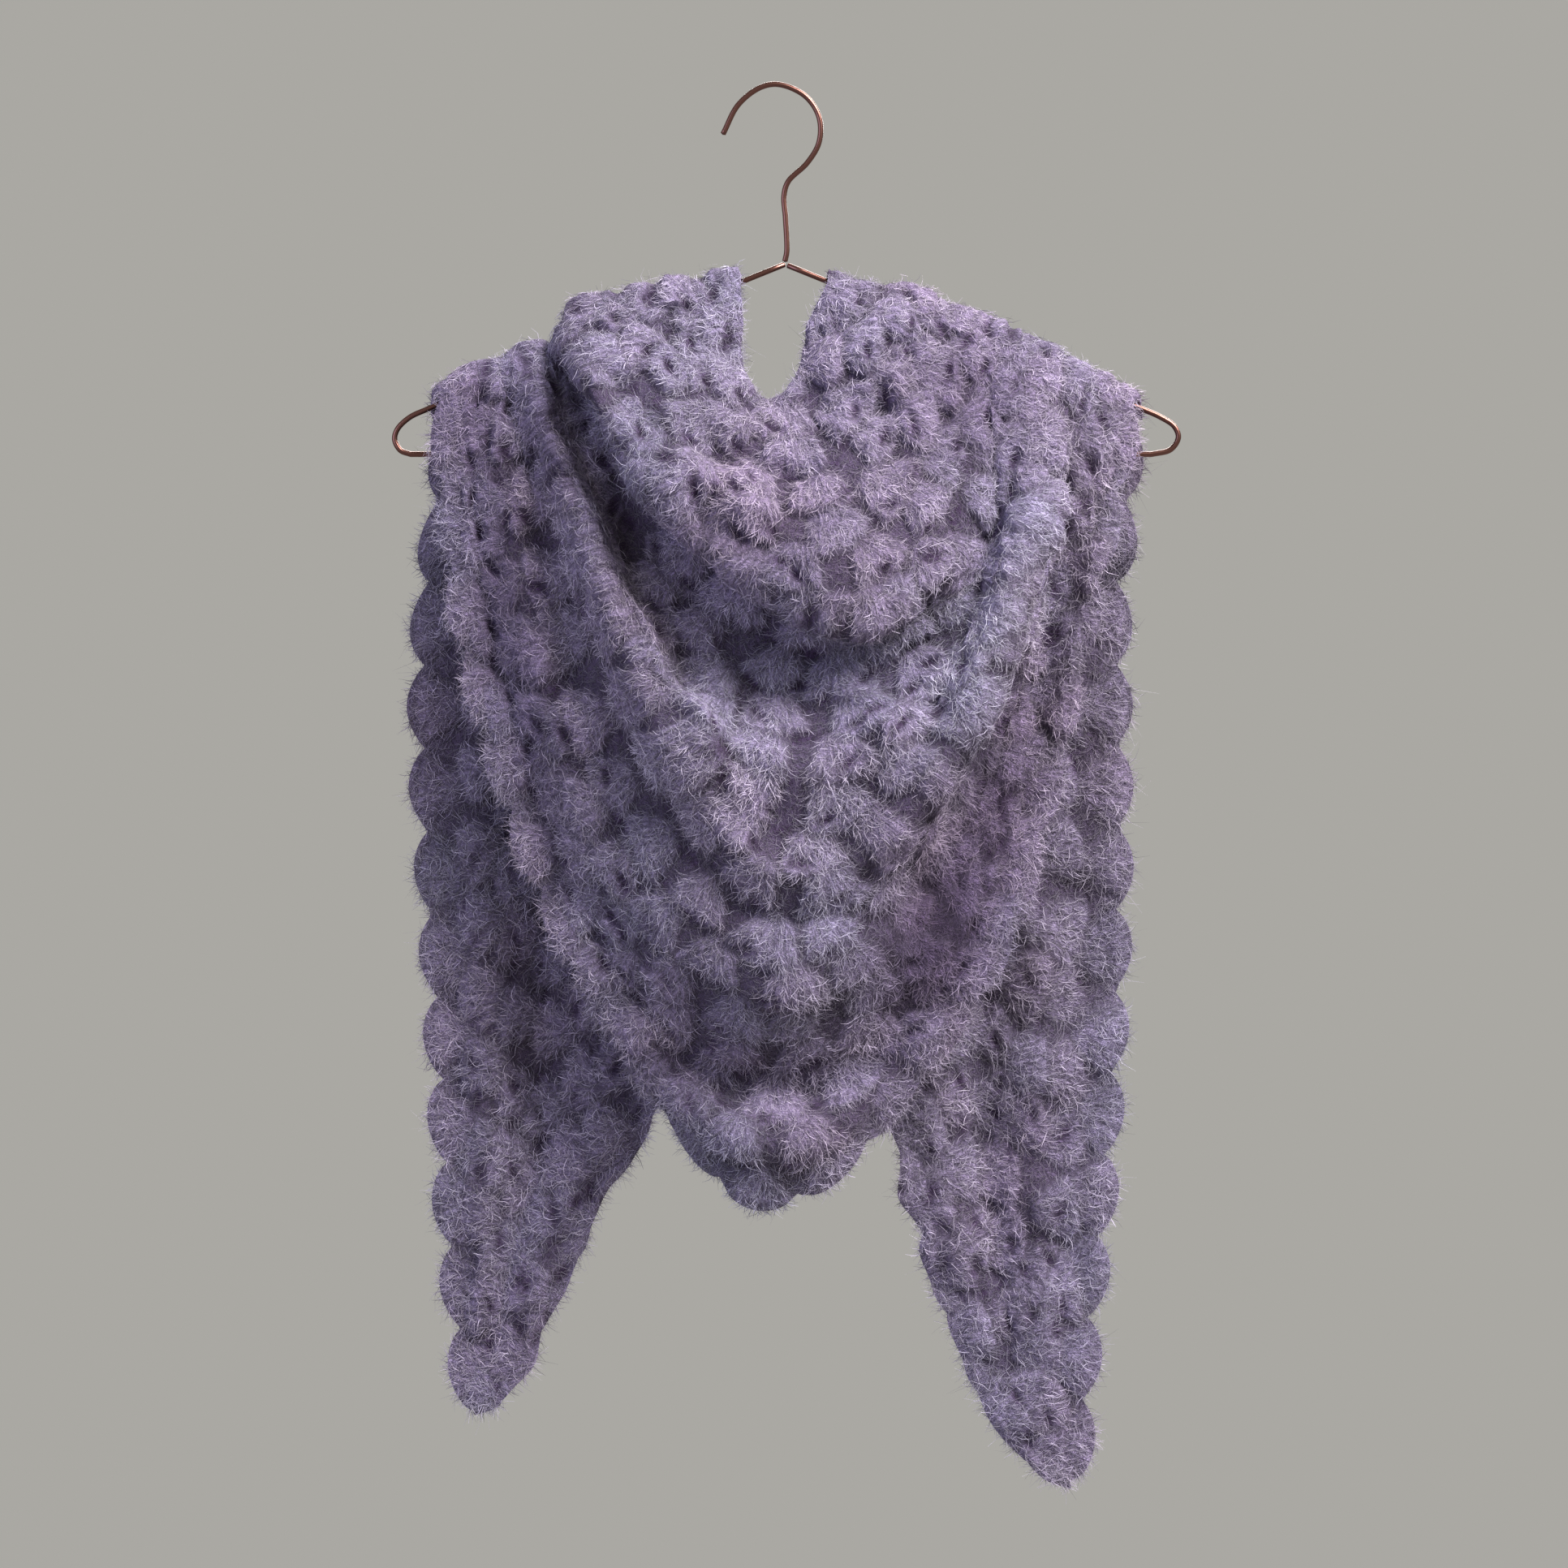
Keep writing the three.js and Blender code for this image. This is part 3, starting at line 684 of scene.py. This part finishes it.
def stitched_material(name, roughness):
    """Yarn whose colour and relief vary in swirls and in streaks along the strands of each fan."""
    material, shade, shader = yarn_material(name, roughness)
    tree = material.node_tree
    place = tree.nodes.new("ShaderNodeTexCoord")
    comb = tree.nodes.new("ShaderNodeAttribute")
    comb.attribute_name = "comb"
    swirl = node(tree, "ShaderNodeTexNoise", Scale=430.0, Detail=3.0, Roughness=0.6, Distortion=2.2)
    streak = node(tree, "ShaderNodeTexNoise", Scale=1.0, Detail=2.0, Roughness=0.6, Distortion=0.4)
    tree.links.new(place.outputs["Object"], swirl.inputs["Vector"])
    tree.links.new(comb.outputs["Vector"], streak.inputs["Vector"])
    share = node(tree, "ShaderNodeMapRange", From_Min=0.36, From_Max=0.64, To_Min=0.55, To_Max=1.4)
    strand = node(tree, "ShaderNodeMapRange", From_Min=0.36, From_Max=0.62, To_Min=0.5, To_Max=1.5)
    tree.links.new(swirl.outputs["Fac"], share.inputs["Value"])
    tree.links.new(streak.outputs["Fac"], strand.inputs["Value"])
    both = product(tree, "ShaderNodeMath", share.outputs["Result"], strand.outputs["Result"])
    tint = product(tree, "ShaderNodeVectorMath", shade.outputs["Color"], both.outputs["Value"])
    tree.links.new(tint.outputs["Vector"], shader.inputs["Base Color"])
    relief = node(tree, "ShaderNodeBump", Strength=0.8, Distance=0.0012)
    tree.links.new(both.outputs["Value"], relief.inputs["Height"])
    tree.links.new(relief.outputs["Normal"], shader.inputs["Normal"])
    return material


def copper_material():
    material = bpy.data.materials.new("dark_copper_wire")
    material.use_nodes = True
    shader = material.node_tree.nodes["Principled BSDF"]
    shader.inputs["Base Color"].default_value = (0.17, 0.08, 0.065, 1)
    shader.inputs["Metallic"].default_value = 1
    shader.inputs["Roughness"].default_value = 0.32
    return material


def grid_faces(ids):
    """The four-sided faces of a grid of point numbers."""
    return np.stack([ids[:-1, :-1], ids[:-1, 1:], ids[1:, 1:], ids[1:, :-1]], -1).reshape(-1, 4)


# How far a face lies off the middle of the cloth without relief: at the edging's rim, elsewhere and
# at least. Then how deep pits go on both sides, how wide the edging is, and the mound height that
# gets the full painted light.
SKIN_AT_EDGE = 0.35
SKIN = 1.1
SKIN_LEAST = 0.2
PIT_DEPTH = {1: 3.6, -1: 3.0}
EDGING_WIDE = 14
FULL_MOUND = 4.9


class Cloth:
    """The two faces of a patch, moved out by the fans' relief. Side 1 is where its normals look to,
    and side -1 is the other."""

    def __init__(self, patch, scale_out, scale_in):
        self.patch = patch
        self.mound, self.pits = patch.relief()
        rim = smoothstep(patch.depth, -EDGING_WIDE, 0)
        base = SKIN_AT_EDGE + (SKIN - SKIN_AT_EDGE) * rim
        self.out = {}
        for side, scale in ((1, scale_out), (-1, scale_in)):
            out = base + self.mound * scale * (0.3 + 0.7 * rim) - PIT_DEPTH[side] * self.pits * scale
            self.out[side] = np.maximum(out, SKIN_LEAST)

    def face(self, side):
        return self.patch.points + self.patch.normal * (side * self.out[side])[..., None]

    def colours(self):
        """The colours of the grid's points: painted light on the raised fans and at the edges, and
        painted shade on the low cloth between the fans and in the pits.
        """
        patch = self.patch
        hue = tinted(patch, patch.fan, patch.points)
        rim = np.minimum(patch.depth + 10, patch.depth[-1] - patch.depth)
        # Painted light on the raised fans and along the edges, painted shade on the low cloth between fans.
        raised = np.maximum(self.mound / FULL_MOUND, 0.75 * (1 - smoothstep(rim, 2, 14)))
        raised = np.clip(raised, 0, 1)[..., None]
        colour = (MID * 0.62) * (1 - raised) + MID * 1.16 * raised
        # Painted shade in the pits and the gaps between fans.
        hollow = np.clip(self.pits * 1.35, 0, 1)[..., None]
        return (colour * (1 - hollow) + PAINTED_PIT_SHADE * hollow) * hue * painted_light_and_shade(patch.points)

    def piece(self, name, low, high, material):
        """A closed shell of the rows from low to high, with the same shading on both sides of a
        joint."""
        def both(outer, inner):
            return np.concatenate([grid[low:high + 1].reshape(-1, 3) for grid in (outer, inner)])

        rows, columns = high - low + 1, self.patch.columns
        lower = rows * columns
        ids = np.arange(lower).reshape(rows, columns)
        ring = np.concatenate([ids[0, :-1], ids[:-1, -1], ids[-1, :0:-1], ids[:0:-1, 0]])
        after = np.roll(ring, -1)
        rims = np.stack([after, ring, ring + lower, after + lower], -1)
        quads = grid_faces(ids)
        faces = np.concatenate([quads, quads[:, ::-1] + lower, rims])
        points = both(self.face(1), self.face(-1))
        colours = both(self.colours(), self.colours())
        comb = both(self.patch.comb, self.patch.comb)
        made = new_mesh(name, points, faces, colours, material, flat=len(rims), comb=comb)
        lean = both(self.lean(1), self.lean(-1))
        corners = np.zeros(len(made.data.loops), np.int32)
        made.data.loops.foreach_get("vertex_index", corners)
        lean = lean[corners]
        lean[-4 * len(rims):] = 0
        made.data.normals_split_custom_set(lean.tolist())
        return made

    def lean(self, side):
        """The directions that the points of one face look in."""
        face = self.face(side)
        normal = unit(np.cross(np.gradient(face, axis=1), np.gradient(face, axis=0)))
        return normal * side


# Painted shade in spots on the front where folds and recesses lie in shadow, or painted highlight
# where the share kept is over 1: middle (x, z), reach along x and z, turn in degrees, share kept.
# Cloth further back than the depth on the next line stays as it is.
PAINTED_SHADE_FRONT = -8
PAINTED_SHADE_AND_LIGHT = [
    (106, -400, 20, 75, -27, 0.6),
    (82, -456, 32, 44, -30, 0.36),
    (106, -300, 16, 46, -20, 1.45),
    (-146, -300, 26, 90, 14, 0.66),
    (-156, -171, 32, 36, 0, 0.72),
    (-10, -520, 90, 14, 0, 0.84),
    (101, -169, 38, 36, 0, 0.66),
    (10, -249, 50, 28, 0, 0.88),
    (0, -396, 60, 50, 0, 1.1),
]


def painted_light_and_shade(points):
    """The shares of red, green and blue kept at each of the points under the painted shade and painted
    highlights.
    """
    kept = np.ones(points.shape[:-1])
    for x, z, wide, tall, turn, share in PAINTED_SHADE_AND_LIGHT:
        turn = np.radians(turn)
        dx, dz = points[..., 0] - x, points[..., 2] - z
        across = (dx * np.cos(turn) + dz * np.sin(turn)) / wide
        upward = (dz * np.cos(turn) - dx * np.sin(turn)) / tall
        spot = np.exp(-(across**2) - upward**2) * (points[..., 1] < PAINTED_SHADE_FRONT)
        kept = kept * (1 - (1 - share) * spot)
    # Painted shade turns purple: green is kept least and blue most.
    return kept[..., None] ** np.array([1.0, 1.18, 0.95])


def tinted(patch, fan, points):
    """The lean of the yarn's colour between blue and pink, by fan and by place."""
    lean = 0.5 + 0.22 * patch.fan_tint[fan] + 0.16 * waves(points, seed=11, wavelength=120)
    lean = np.clip(lean, 0, 1)[..., None]
    return BLUE * (1 - lean) + PINK * lean


BORDER_ROWS = 6
LONG_EDGE_ROWS = 4
END_COLUMNS = 5
PIT_BARE = 0.85
STRAY_SHARE = 0.15
BEND = 0.8
TWIST = 0.5
SAG = 0.06
RIB_HIGH = 0.35
ROOT_SPREAD = 0.7
# How bright fibres are at random, and the share of painted light on fibres at the edges.
FIBRE_LIGHT = (0.38, 1.62)
EDGE_LIGHT = 0.6

# Along a fibre of one or two steps: places from root to tip, shares of its width, shares of its light
# (painted shade darkens the root).
STATIONS = {
    1: ((0, 1.0), (0.9, 0.4), (0.8, 1.15)),
    2: ((0, 0.5, 1.0), (0.8, 1.0, 0.3), (0.7, 1.0, 1.15)),
}


def scatter(cloth, count, edge):
    """Random places on a cloth's grid, even over its area, few in its pits, or at one edge alone."""
    corners = cloth.patch.points
    e1 = corners[1:, :-1] - corners[:-1, :-1]
    e2 = corners[:-1, 1:] - corners[:-1, :-1]
    weight = np.linalg.norm(np.cross(e1, e2), axis=-1)
    weight = weight * (1 - PIT_BARE * np.clip(cloth.pits[:-1, :-1], 0, 1))
    if edge == "border":
        weight[BORDER_ROWS:] = 0
    if edge == "long":
        weight[:-LONG_EDGE_ROWS] = 0
    if edge == "ends":
        weight[:, END_COLUMNS:-END_COLUMNS] = 0
    chance = np.cumsum(weight.ravel())
    cell = np.searchsorted(chance, rng.uniform(0, chance[-1], count))
    r, c = np.unravel_index(cell, weight.shape)
    return r + rng.uniform(0, 1, count), c + rng.uniform(0, 1, count)


def fluff(cloth, name, side, count, reach, material, wild=0.5, width=0.3, lift=(0.05, 0.36),
          edge=None, steps=2):
    """Thin curved fibres on one face of a cloth, combed the way that its fans spread, or on its
    scalloped border, its long edge or the two ends of its rows alone."""
    patch = cloth.patch
    row, column = scatter(cloth, count, edge)
    near = (np.round(row).astype(int), np.round(column).astype(int))
    point = patch.at(row, column, patch.points)
    normal = unit(patch.at(row, column, patch.normal)) * side
    along = unit(patch.at(row, column, patch.along))
    outward = unit(patch.at(row, column, patch.outward))
    height = patch.at(row, column, cloth.out[side])
    if edge in ("border", "long"):
        height = height * rng.uniform(-0.8, 1, count)

    # where each fibre starts on its fan, and the way that it runs
    fan = patch.fan[near]
    axis_u, axis_v, size = patch.fan_axes
    gap = point - patch.fan_base[fan]
    u = np.sum(gap * axis_u[fan], -1) / size[fan]
    v = np.sum(gap * axis_v[fan], -1) / size[fan] + FOOT_BACK
    turn = np.where(patch.height[near] > 0, np.arctan2(u, v + TURN_FROM), 0)
    rib = np.cos(turn * (2 * np.pi / RIB_TURN)) * smoothstep(patch.height[near], 0.1, 0.5)
    turn = np.where(v < -1, rng.uniform(-np.pi, np.pi, count), turn * 0.9)
    if edge == "long":
        turn = np.pi + 0 * turn
    turn = turn + rng.normal(0, wild, count)
    stray = rng.uniform(size=count) < STRAY_SHARE
    turn = np.where(stray, rng.uniform(-np.pi, np.pi, count), turn)
    way = along * np.sin(turn)[:, None] + outward * np.cos(turn)[:, None]
    sideways = np.cross(normal, way)

    # its form
    length = rng.uniform(*reach, count) * rng.uniform(0.7, 1.3, count)
    slope = rng.uniform(*lift, count)
    droop = slope * rng.uniform(0.3, 0.9, count)
    curl = rng.normal(0, BEND, count)
    roll = rng.normal(0, TWIST, count)
    spread = sideways * np.cos(roll)[:, None] + normal * np.sin(roll)[:, None]
    start_height = height + rng.uniform(0, ROOT_SPREAD, count) + RIB_HIGH * rib
    root = point + normal * start_height[:, None]
    places, widths, shades = STATIONS[steps]
    points = np.zeros((count, steps + 1, 2, 3))
    for k, (s, thin) in enumerate(zip(places, widths)):
        centre = root + (
            way * (s * length)[:, None]
            + sideways * (curl * s * s * length)[:, None]
            + normal * ((slope * s - droop * s * s) * length)[:, None]
        )
        centre[:, 2] -= SAG * s * s * length
        half = spread * (width / 2 * thin)
        points[:, k, 0] = centre - half
        points[:, k, 1] = centre + half
    first = np.arange(count)[:, None] * 2 * (steps + 1)
    quads = np.array([[0, 1, 3, 2], [2, 3, 5, 4]])[:steps]
    faces = (first[:, :, None] + quads[None]).reshape(-1, 4)

    # its colour: random, with painted light on fibres over the high fans, the rib crests and the edges,
    # and painted shade on fibres in the pits
    high = np.minimum(patch.height[near], 1) if edge is None else EDGE_LIGHT
    light = rng.uniform(*FIBRE_LIGHT, count) * (0.63 + 0.56 * high + 0.26 * rib)
    light = light * (1 + 0.09 * patch.fan_tint[fan])
    shade_in_pits = 1 - 0.75 * np.clip(cloth.pits[near] * 1.2, 0, 1)
    colour = PALE * tinted(patch, fan, point) * painted_light_and_shade(point) * (light * shade_in_pits)[:, None]
    colours = np.repeat(colour[:, None, :] * np.array(shades)[None, :, None], 2, axis=1)
    colours = np.clip(colours.reshape(-1, 3), 0, 1)
    return new_mesh(name, points.reshape(-1, 3), faces, colours, material)


def tube(name, lines, radius, sides, material):
    """Round wires along lines of points, with blunt tips, joined in one piece."""
    points, faces, base = [], [], 0
    for line in lines:
        ahead = unit(np.gradient(line, axis=0))
        across = np.broadcast_to(np.array([0.0, 1.0, 0.0]), ahead.shape)
        across = unit(across - np.sum(across * ahead, -1, keepdims=True) * ahead)
        other = np.cross(ahead, across)
        turns = (np.arange(sides) * 2 * np.pi / sides)[None, :, None]
        ring = across[:, None] * np.cos(turns) + other[:, None] * np.sin(turns)
        body = (line[:, None] + ring * radius).reshape(-1, 3)
        points += [body, line[:1] - ahead[:1] * radius * 0.4, line[-1:] + ahead[-1:] * radius * 0.4]
        ids = base + np.arange(len(body)).reshape(-1, sides)
        after = np.roll(ids, -1, axis=1)
        faces += np.stack([ids[:-1], after[:-1], after[1:], ids[1:]], -1).reshape(-1, 4).tolist()
        first = base + len(body)
        faces += [(b, a, first) for a, b in zip(ids[0].tolist(), after[0].tolist())]
        faces += [(a, b, first + 1) for a, b in zip(ids[-1].tolist(), after[-1].tolist())]
        base = first + 2
    mesh = bpy.data.meshes.new(name)
    mesh.from_pydata((np.concatenate(points) * MM).tolist(), [], faces)
    mesh.polygons.foreach_set("use_smooth", np.full(len(faces), True))
    mesh.materials.append(material)
    piece = bpy.data.objects.new(name, mesh)
    bpy.context.scene.collection.objects.link(piece)
    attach(piece, "root")
    return piece


def arm_point(x):
    return (x, 0, NECK_Z - ARM_SLOPE * abs(x - NECK_X))


def hanger(material):
    """The bent wire: the hook, and the ring of arms, end loops and bar."""
    hook = spline([(x, 0, z) for x, z in HOOK], np.linspace(0, len(HOOK) - 1, 130))
    loop_l, loop_r = (
        spline([arm_point(arm_x)] + [(x, 0, z) for x, z in bends] + [(bar_x, 0, BAR_Z)],
               np.linspace(0, len(bends) + 1, 40))
        for arm_x, bends, bar_x in (
            (ARM_LEFT_X, LOOP_LEFT, BAR_LEFT_X), (ARM_RIGHT_X, LOOP_RIGHT, BAR_RIGHT_X)
        )
    )
    arm_l = np.linspace(arm_point(NECK_X - 0.3), arm_point(ARM_LEFT_X), 24)
    arm_r = np.linspace(arm_point(ARM_RIGHT_X), arm_point(NECK_X + 1.5), 24)
    bar = np.linspace(loop_l[-1], loop_r[-1], 24)
    ring = np.concatenate([arm_l[:-1], loop_l[:-1], bar[:-1], loop_r[::-1][:-1], arm_r])
    return tube("hanger_wire_bent", [hook, ring], WIRE_DIAMETER / 2, 16, material)


# The pieces

wool = stitched_material("lilac_mohair_stitches", 0.9)
fur, _, _ = yarn_material("lilac_mohair_fibres", 0.75)
copper = copper_material()

# The fibres by name: the side and kind of edge they grow on, how many, how long in mm, how wild.
FRONT_FLUFF = {
    "a": dict(side=1, count=44000, reach=(2, 4.4), wild=0.35, steps=1),
    "b": dict(side=1, count=40000, reach=(3, 5.8), wild=0.7),
    "c": dict(side=1, count=9000, reach=(4, 7.5), wild=0.9, lift=(0.3, 1.0), width=0.22),
    "in": dict(side=-1, count=12000, reach=(3, 7), wild=0.8, steps=1),
    "border": dict(side=1, count=2000, reach=(3, 6.5), wild=0.7, edge="border", lift=(0.1, 0.6)),
    "neck": dict(side=1, count=1500, reach=(2.2, 4.5), wild=0.7, edge="long", lift=(0.1, 0.6)),
    "ends": dict(side=1, count=2400, reach=(3, 7), wild=2.5, edge="ends"),
}
TAIL_FLUFF = {
    "front_a": dict(side=-1, count=16000, reach=(2.2, 5), wild=0.4, steps=1),
    "front_b": dict(side=-1, count=14000, reach=(3.5, 7), wild=0.8, lift=(0.05, 0.6)),
    "back_a": dict(side=1, count=12500, reach=(2.2, 5), wild=0.4, steps=1),
    "back_b": dict(side=1, count=8500, reach=(3.5, 7), wild=0.8, lift=(0.05, 0.6)),
    "border": dict(side=-1, count=1800, reach=(3, 6.5), wild=0.7, edge="border"),
    "edge": dict(side=-1, count=4500, reach=(3, 6), wild=0.9, edge="long", steps=1),
    "tip": dict(side=-1, count=900, reach=(3, 6), wild=2.5, edge="ends", steps=1),
}

wire = hanger(copper)
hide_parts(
    "hanger_hook", "hanger_arm_left", "hanger_arm_right",
    "hanger_loop_left", "hanger_loop_right", "hanger_bar",
)

front = front_patch()
front_cloth = Cloth(front, scale_out=1.0, scale_in=0.35)
cowl_end, drape_end = (int(np.argmin(np.abs(front.row_of - swag))) for swag in (COWL_END, DRAPE_END))
cowl = front_cloth.piece("cowl_cloth", cowl_end, front.rows - 1, wool)
drape = front_cloth.piece("drape_cloth", drape_end, cowl_end, wool)
point = front_cloth.piece("point_cloth", 0, drape_end, wool)
front_fur = [
    fluff(front_cloth, f"front_fluff_{key}", material=fur, **kind) for key, kind in FRONT_FLUFF.items()
]

tails = {}
for side_name in ("left", "right"):
    patch = tail_patch(side_name)
    cloth = Cloth(patch, scale_out=0.8, scale_in=0.8)
    piece = cloth.piece(f"{side_name}_tail_cloth", 0, patch.rows - 1, wool)
    fibres = [
        fluff(cloth, f"{side_name}_fluff_{key}", material=fur, **kind) for key, kind in TAIL_FLUFF.items()
    ]
    tails[side_name] = (piece, fibres)

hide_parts("cowl")
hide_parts("front_drape")
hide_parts("front_point", "front_edging_left", "front_edging_right")
for side_name, (piece, fibres) in tails.items():
    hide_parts(f"{side_name}_tail", f"{side_name}_tail_edging")


# Light, floor and camera

def area_light(name, place, target, size, energy, colour):
    data = bpy.data.lights.new(name, "AREA")
    data.size = size
    data.energy = energy
    data.color = colour
    lamp = bpy.data.objects.new(name, data)
    lamp.location = place
    direction = np.array(target) - np.array(place)
    lamp.rotation_euler = Vector(direction).to_track_quat("-Z", "Y").to_euler()
    bpy.context.scene.collection.objects.link(lamp)


area_light("key", (1.5, -1.15, 1.45), (0, 0, -0.35), size=1.3, energy=186, colour=(1.0, 0.965, 0.955))
area_light("fill", (-1.8, -1.6, 0.1), (0, 0, -0.4), size=1.6, energy=29, colour=(0.62, 0.67, 1.0))
area_light("back", (0.4, 1.8, 0.8), (0, 0, -0.35), size=1.4, energy=60, colour=(1.0, 0.98, 0.96))

world = bpy.data.worlds.new("studio")
world.use_nodes = True
world.node_tree.nodes["Background"].inputs["Color"].default_value = (0.402, 0.392, 0.366, 1)
bpy.context.scene.world = world

FLOOR_RADIUS = 2.4
FLOOR_Z = -1.3
FLOOR_SIDES = 64
floor_mesh = bpy.data.meshes.new("floor")
turns = np.linspace(0, 2 * np.pi, FLOOR_SIDES, endpoint=False)
floor_points = [(FLOOR_RADIUS * np.cos(t), FLOOR_RADIUS * np.sin(t), FLOOR_Z) for t in turns]
floor_mesh.from_pydata(floor_points, [], [tuple(range(FLOOR_SIDES))])
floor_material = bpy.data.materials.new("pale_floor")
floor_material.use_nodes = True
floor_shader = floor_material.node_tree.nodes["Principled BSDF"]
floor_shader.inputs["Base Color"].default_value = (0.2, 0.195, 0.185, 1)
floor_shader.inputs["Roughness"].default_value = 0.9
floor_mesh.materials.append(floor_material)
floor = bpy.data.objects.new("floor", floor_mesh)
bpy.context.scene.collection.objects.link(floor)

camera_data = bpy.data.cameras.new("camera")
camera_data.sensor_width = 36
camera_data.lens = 128.3
camera = bpy.data.objects.new("camera", camera_data)
camera.location = (0.0035, -3.0, -0.374)
camera.rotation_euler = (np.pi / 2, 0, 0)
bpy.context.scene.collection.objects.link(camera)
bpy.context.scene.camera = camera
bpy.context.scene.view_settings.view_transform = "Standard"
